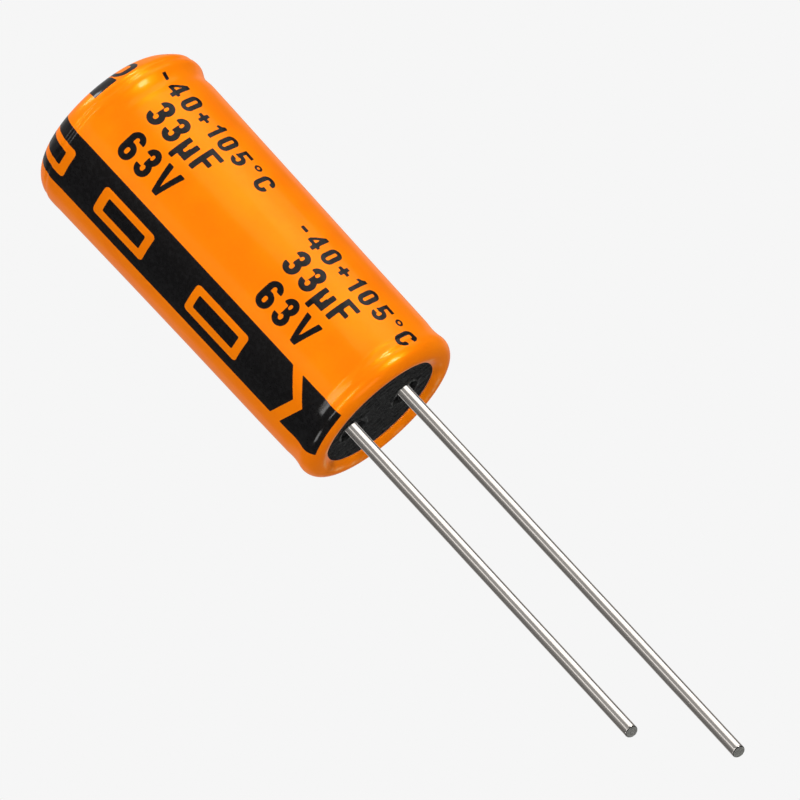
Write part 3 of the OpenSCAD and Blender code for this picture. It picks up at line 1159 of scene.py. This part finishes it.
@dataclass
class TinnedLead:
    """A tinned wire with a sheared tip, and the weld's flare at its top inside the bung.

    The tip's section is a row of points, each with its distance in from the wire's side, its height
    over the lowest ring, and how much of the shorn metal shows there.
    """

    side: Side
    radius: float = 0.3
    tip: tuple[tuple[float, float, float], ...] = (
        (0.3, 0.012, 1.0), (0.2, 0.012, 1.0), (0.1, 0.008, 1.0), (0.05, 0.0, 1.0), (0.034, 0.0, 1.0),
        (0.024, 0.004, 0.6), (0.008, 0.022, 0.4), (0.002, 0.045, 0.0), (0.0, 0.07, 0.0))
    slant: float = 0.26
    slant_at: float = 246.0
    face_stray: float = 0.006
    wall_stray: float = 0.003
    wire_top: float = 0.46
    weld_h: float = 0.17
    weld_r: float = 0.44
    columns: int = 60
    wall_rows: int = 150

    def build(self) -> bpy.types.Object:
        """Makes the closed mesh: the section turned about the lead's axis, with a slanted end.

        A point near the tip rises by the slant's share of how far it lies towards the short side.
        The share is all on the end's face and fades up the wall. The cutter turns a narrow edge
        round the end, and the tin's surface strays by a micron or two.

        Returns:
            The piece.
        """
        r, low, top = self.radius, -self.side.length, self.wire_top + self.weld_h
        inset, rise, shorn = np.array(self.tip).T
        wall = np.linspace(low + 0.1, self.wire_top - 0.02, self.wall_rows)
        flare = [(r, self.wire_top), (self.weld_r, top - 0.004), (self.weld_r - 0.004, top),
                 (0.15, top), (0, top)]
        section = np.vstack([np.stack([r - inset, low + rise], 1),
                             np.stack([np.full_like(wall, r), wall], 1), flare])
        turn = np.radians(np.linspace(0, 360, self.columns, endpoint=False))
        points = turned(section, turn)
        short = np.radians(self.slant_at)
        towards = points[..., 0] * math.cos(short) + points[..., 1] * math.sin(short)
        share = 1 - smooth(low + 0.1, low + 0.6, points[..., 2])
        points[..., 2] += share * self.slant * (towards + r) / (2 * r)
        face = points[:np.count_nonzero(shorn == 1)]
        face[..., 2] += self.face_stray * ripple(face[..., 0] * 5, face[..., 1] * 5, 1.0, 5)
        stray = self.wall_stray * ripple(turn + 0 * points[..., 2], points[..., 2] * 0.6, 2.0, 6)
        points[..., :2] *= 1 + stray[..., None]
        points[..., 0] += self.side.at
        cut = np.zeros(points.shape[:2])
        cut[:len(shorn)] = shorn[:, None]
        name = self.side.node.replace("lead", "wire")
        return mesh_from_grid(name, points, {"cut": cut}, poles=True)


@dataclass
class Winding:
    """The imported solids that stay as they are: the can and all that it holds, each in its finish."""

    finishes: dict[str, Finish] = field(default_factory=lambda: {
        "can": MetalFinish("can aluminium", (0.5, 0.51, 0.52), (0.36, 0.37, 0.39), 0.32, 0.46,
                           scored_at=18.66),
        "positive_tab": MetalFinish("tab aluminium", (0.76, 0.77, 0.78), (0.55, 0.56, 0.58), 0.3,
                                    0.45),
        "anode_foil": MetalFinish("etched foil", (0.36, 0.36, 0.37), (0.24, 0.24, 0.25), 0.62, 0.8,
                                  9000.0, 0.6),
        "cathode_foil": MetalFinish("plain foil", (0.62, 0.63, 0.64), (0.45, 0.46, 0.47), 0.34, 0.5,
                                    9000.0, 0.3),
        "inner_separator": SheetFinish("separator paper", (0.66, 0.58, 0.42), (0.5, 0.42, 0.28),
                                       0.8),
        "winding_tape": SheetFinish("tape film", (0.55, 0.36, 0.12), (0.42, 0.26, 0.08), 0.3)})
    shared: dict[str, str] = field(default_factory=lambda: {
        "negative_tab": "positive_tab", "outer_separator": "inner_separator"})

    def dress(self) -> None:
        """Gives every node that shows as packed its finish."""
        made = {node: finish.build() for node, finish in self.finishes.items()}
        made |= {node: made[like] for node, like in self.shared.items()}
        for node, material in made.items():
            for slot in frame["nodes"][node].material_slots:
                slot.material = material
            LOG.info("%s dressed in %s", node, material.name)


# The studio

@dataclass(frozen=True)
class Lamp:
    """A soft rectangular lamp, its size in metres. At level 1 its own face is as bright as white."""

    name: str
    azimuth: float
    elevation: float
    size: Point
    level: float


@dataclass
class Studio:
    """Camera, lamps, room and floor.

    The camera stands below the rim and looks up at the leads, so the can points up and to the left.
    Its distance and moves are in millimetres, and the places of lamps and floor in metres.
    """

    facing: float = -114.0
    tilt: float = 16.3
    distance: float = 251.0
    lens: float = 262.2
    moved_right: float = 0.70
    moved_up: float = 0.67
    roll: Point = (0.6794, 0.7337)
    background: float = 0.9216
    fill: float = 0.55
    lamp_aim: float = 0.008
    lamp_away: float = 0.4
    floor_half: float = 3.0
    floor_low: float = -0.3
    lamps: tuple[Lamp, ...] = (
        Lamp("panel right", 65, 16, (0.56, 0.2), 1.15),
        Lamp("strip right", 72, 16, (0.16, 0.2), 0.9),
        Lamp("strip left", -29, 16, (0.1, 0.24), 0.8),
        Lamp("strip back", 152, 10, (0.14, 0.3), 0.2),
        Lamp("key right", 62, 42, (0.07, 0.07), 34),
        Lamp("key left", -32, 38, (0.34, 0.03), 11),
        Lamp("overhead", 0, 88, (0.08, 0.08), 14),
        Lamp("low front", 57, -20, (0.09, 0.08), 32),
        Lamp("low left", -26, -20.5, (0.36, 0.035), 15),
        Lamp("sheen left", -82, -20, (0.12, 0.07), 9),
        Lamp("back panel", 185, 25, (0.6, 0.5), 0.4),
        Lamp("below", 10, -62, (0.2, 0.15), 1.6))

    @property
    def front(self) -> Vector:
        """Level direction from the can towards the viewer."""
        return Vector((math.cos(math.radians(self.facing)), math.sin(math.radians(self.facing)), 0))

    @property
    def across(self) -> Vector:
        """Level direction to the viewer's right when the leads point down."""
        return Vector((-self.front.y, self.front.x, 0))

    def heading(self, azimuth: float, elevation: float) -> Vector:
        """Direction at two angles from the front.

        Args:
            azimuth: Degrees from the front towards across.
            elevation: Degrees up.

        Returns:
            The direction, of length one.
        """
        a, e = math.radians(azimuth), math.radians(elevation)
        level = self.front * math.cos(a) + self.across * math.sin(a)
        return level * math.cos(e) + Vector((0, 0, math.sin(e)))

    @staticmethod
    def stand(name: str, data: bpy.types.ID, axes: Sequence[Vector], spot: Vector) -> bpy.types.Object:
        """An object that stands at a spot in metres, with its own X, Y and Z along the axes."""
        made = linked(name, data)
        made.matrix_world = Matrix.Translation(spot) @ Matrix(axes).transposed().to_4x4()
        return made

    def camera(self) -> None:
        """Makes the camera: a long lens on the line from the rim's centre, tilted and rolled."""
        tilt = math.radians(self.tilt)
        back = self.heading(0, -self.tilt)
        down = Vector((0, 0, -1)) * math.cos(tilt) - self.front * math.sin(tilt)
        right = down * self.roll[0] + self.across * self.roll[1]
        up = self.across * self.roll[0] - down * self.roll[1]
        spot = back * self.distance + right * self.moved_right + up * self.moved_up
        data = bpy.data.cameras.new("camera")
        data.lens, data.sensor_width = self.lens, 36.0
        data.clip_start, data.clip_end = 0.01, 10.0
        bpy.context.scene.camera = self.stand("camera", data, (right, up, back), spot * MM)

    def hang(self, lamp: Lamp) -> None:
        """Hangs a lamp and turns it to the middle of the can.

        Args:
            lamp: What it is and where it stands.
        """
        data = bpy.data.lights.new(lamp.name, "AREA")
        data.shape = "RECTANGLE"
        data.size, data.size_y = lamp.size
        data.energy = lamp.level * math.pi * lamp.size[0] * lamp.size[1]
        out = self.heading(lamp.azimuth, lamp.elevation)
        side = Vector((0, 0, 1)).cross(out).normalized()
        spot = Vector((0, 0, self.lamp_aim)) + out * self.lamp_away
        self.stand(lamp.name, data, (side, out.cross(side), out), spot).visible_camera = False

    def room(self) -> None:
        """Makes the world: the pale background for what looks straight at it, and soft fill.

        Glossy rays see the same background behind the can and a dimmer room before it, and no fill.
        """
        world = bpy.data.worlds.new("room")
        board = Board.cleared(world)
        path = board.add("LightPath").outputs
        place = board.place("Generated")
        ahead = board.add("VectorMath", {0: place, 1: tuple(self.heading(0, 5))},
                          operation="DOT_PRODUCT").outputs["Value"]
        high = board.add("SeparateXYZ", {0: place}).outputs["Z"]
        sight = board.math("ADD", board.ramp(ahead, 0.2, 1.0, 0.14, 0.33),
                           board.ramp(high, 0.6, 0.9, 0.0, 0.6))
        seen = board.math("MAXIMUM", path["Is Camera Ray"], path["Is Transmission Ray"])
        seen = board.math("MAXIMUM", seen, board.math("MULTIPLY", path["Is Glossy Ray"], sight))
        strength = board.math("MULTIPLY_ADD", path["Is Glossy Ray"], -self.fill, self.fill)
        fill = board.add("Background", {"Color": (1.0, 1.0, 1.0, 1.0), "Strength": strength})
        plain = board.add("Background", {"Color": opaque((self.background,) * 3), "Strength": 1.0})
        mixed = board.add("MixShader", {0: seen, 1: fill.outputs[0], 2: plain.outputs[0]})
        board.add("OutputWorld", {"Surface": mixed.outputs[0]})
        bpy.context.scene.world = world

    def floor(self) -> None:
        """Makes the pale floor, well under the leads."""
        half, low = self.floor_half, self.floor_low
        mesh = bpy.data.meshes.new("floor")
        mesh.from_pydata([(-half, -half, low), (half, -half, low), (half, half, low),
                          (-half, half, low)], [], [(0, 1, 2, 3)])
        mesh.materials.append(FloorFinish().build())
        floor = linked("floor", mesh)

    def build(self) -> None:
        """Makes the whole studio."""
        self.camera()
        for lamp in self.lamps:
            self.hang(lamp)
        self.room()
        self.floor()
        bpy.context.scene.view_settings.view_transform = "Standard"


def settle(piece: bpy.types.Object, material: bpy.types.Material, slot: str,
           *nodes: str) -> None:
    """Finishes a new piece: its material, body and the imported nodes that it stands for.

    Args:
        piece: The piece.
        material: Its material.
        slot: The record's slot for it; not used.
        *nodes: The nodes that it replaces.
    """
    piece.data.materials.append(material)
    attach(piece, "root")
    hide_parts(*nodes)
    LOG.info("%s: %d faces for %s", piece.name, len(piece.data.polygons), ", ".join(nodes))


def main() -> None:
    """Builds the studio, then the new pieces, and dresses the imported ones."""
    logging.basicConfig(level=logging.INFO, format="%(message)s")
    studio, section = Studio(), Section()
    studio.build()
    sleeve = ShrunkSleeve(section, studio.facing).build()
    settle(sleeve, FilmFinish().build(), "sleeve_pvc", "sleeve", "polarity_stripe")
    settle(RubberSeal(section).build(), RubberFinish().build(), "seal_rubber", "bung")
    tin = MetalFinish("tinned wire", (0.84, 0.79, 0.74), (0.74, 0.69, 0.64), 0.13, 0.2, relief=0.05,
                      pits=0.12, metallic=0.97, cut_end=(0.13, 0.13, 0.12)).build()
    for side in Side:
        settle(TinnedLead(side).build(), tin, "tinned_wire", side.node)
    Winding().dress()
    for piece in bpy.context.scene.objects:
        if piece.type == "MESH":
            piece.visible_glossy = False


if __name__ == "__main__":
    main()
